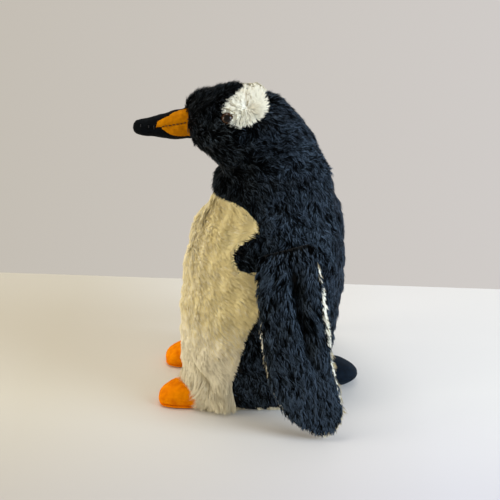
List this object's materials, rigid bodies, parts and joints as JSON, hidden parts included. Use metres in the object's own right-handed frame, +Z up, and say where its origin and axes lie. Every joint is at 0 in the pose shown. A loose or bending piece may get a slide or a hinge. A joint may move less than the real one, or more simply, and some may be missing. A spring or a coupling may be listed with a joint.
{
  "type": "plush penguin",
  "caption": "Standing plush penguin with a stuffed body, a nodding head, sewn-on flippers, padded feet and a short tail.",
  "frame": {"origin": "on the flat face of the base that it stands on, between its left and right sides, under the middle of the body", "axes": "+Z up; the penguin faces -Y, and its left side is +X"},
  "size_m": [0.1642, 0.152, 0.214],
  "materials": {
    "fur_dark": "matte",
    "fur_cream": "matte",
    "fur_white": "matte",
    "velour_dark": "matte",
    "velour_orange": "matte",
    "felt_orange": "matte",
    "thread": "matte",
    "eye_plastic": "gloss",
    "washer_plastic": "satin",
    "stuffing": "matte",
    "pouch_cloth": "matte",
    "pellet_plastic": "satin"
  },
  "bodies": {
    "torso": {"back_panel_left": "fur_dark", "back_panel_right": "fur_dark", "belly_panel": "fur_cream", "base_panel": "fur_cream", "body_stuffing": "stuffing", "pellet_pouch": "pouch_cloth", "pellets": "pellet_plastic"},
    "head": {"head_panel_left": "fur_dark", "head_panel_right": "fur_dark", "crown_strap": "fur_white", "head_stuffing": "stuffing", "beak_upper": "velour_dark", "beak_lower": "velour_dark", "beak_patch_upper_left": "velour_orange", "beak_patch_upper_right": "velour_orange", "beak_patch_lower_left": "velour_orange", "beak_patch_lower_right": "velour_orange", "mouth_stitch": "thread", "beak_stuffing": "stuffing", "eye_left": "eye_plastic", "eye_right": "eye_plastic", "eye_washer_left": "washer_plastic", "eye_washer_right": "washer_plastic"},
    "tail": {"tail_top": "velour_dark", "tail_under": "velour_dark", "tail_padding": "stuffing"},
    "flipper_left": {"flipper_outer_left": "fur_dark", "flipper_inner_left": "fur_cream"},
    "foot_left": {"foot_top_left": "felt_orange", "foot_sole_left": "felt_orange", "foot_padding_left": "stuffing"},
    "flipper_right": {"flipper_outer_right": "fur_dark", "flipper_inner_right": "fur_cream"},
    "foot_right": {"foot_top_right": "felt_orange", "foot_sole_right": "felt_orange", "foot_padding_right": "stuffing"}
  },
  "joints": [
    {"name": "head_nod", "type": "hinge", "parent": "torso", "child": "head", "pos_m": [0, 0.016, 0.133], "axis": [1, 0, 0], "range_deg": [-12, 15], "stiffness_Nm_per_rad": 0.6},
    {"name": "flipper_left_swing", "type": "hinge", "parent": "torso", "child": "flipper_left", "pos_m": [0.0505, 0.023, 0.1155], "axis": [0.0677, -0.9679, -0.2419], "range_deg": [-5, 75], "stiffness_Nm_per_rad": 0.03},
    {"name": "flipper_right_swing", "type": "hinge", "parent": "torso", "child": "flipper_right", "pos_m": [-0.0505, 0.023, 0.1155], "axis": [0.0677, 0.9679, 0.2419], "range_deg": [-5, 75], "stiffness_Nm_per_rad": 0.03},
    {"name": "foot_left_flex", "type": "hinge", "parent": "torso", "child": "foot_left", "pos_m": [0.03, -0.041, 0.003], "axis": [-1, 0, 0], "range_deg": [0, 20], "stiffness_Nm_per_rad": 0.02},
    {"name": "foot_right_flex", "type": "hinge", "parent": "torso", "child": "foot_right", "pos_m": [-0.03, -0.041, 0.003], "axis": [-1, 0, 0], "range_deg": [0, 20], "stiffness_Nm_per_rad": 0.02},
    {"name": "tail_flex", "type": "hinge", "parent": "torso", "child": "tail", "pos_m": [0, 0.053, 0.007], "axis": [1, 0, 0], "range_deg": [0, 25], "stiffness_Nm_per_rad": 0.02}
  ]
}
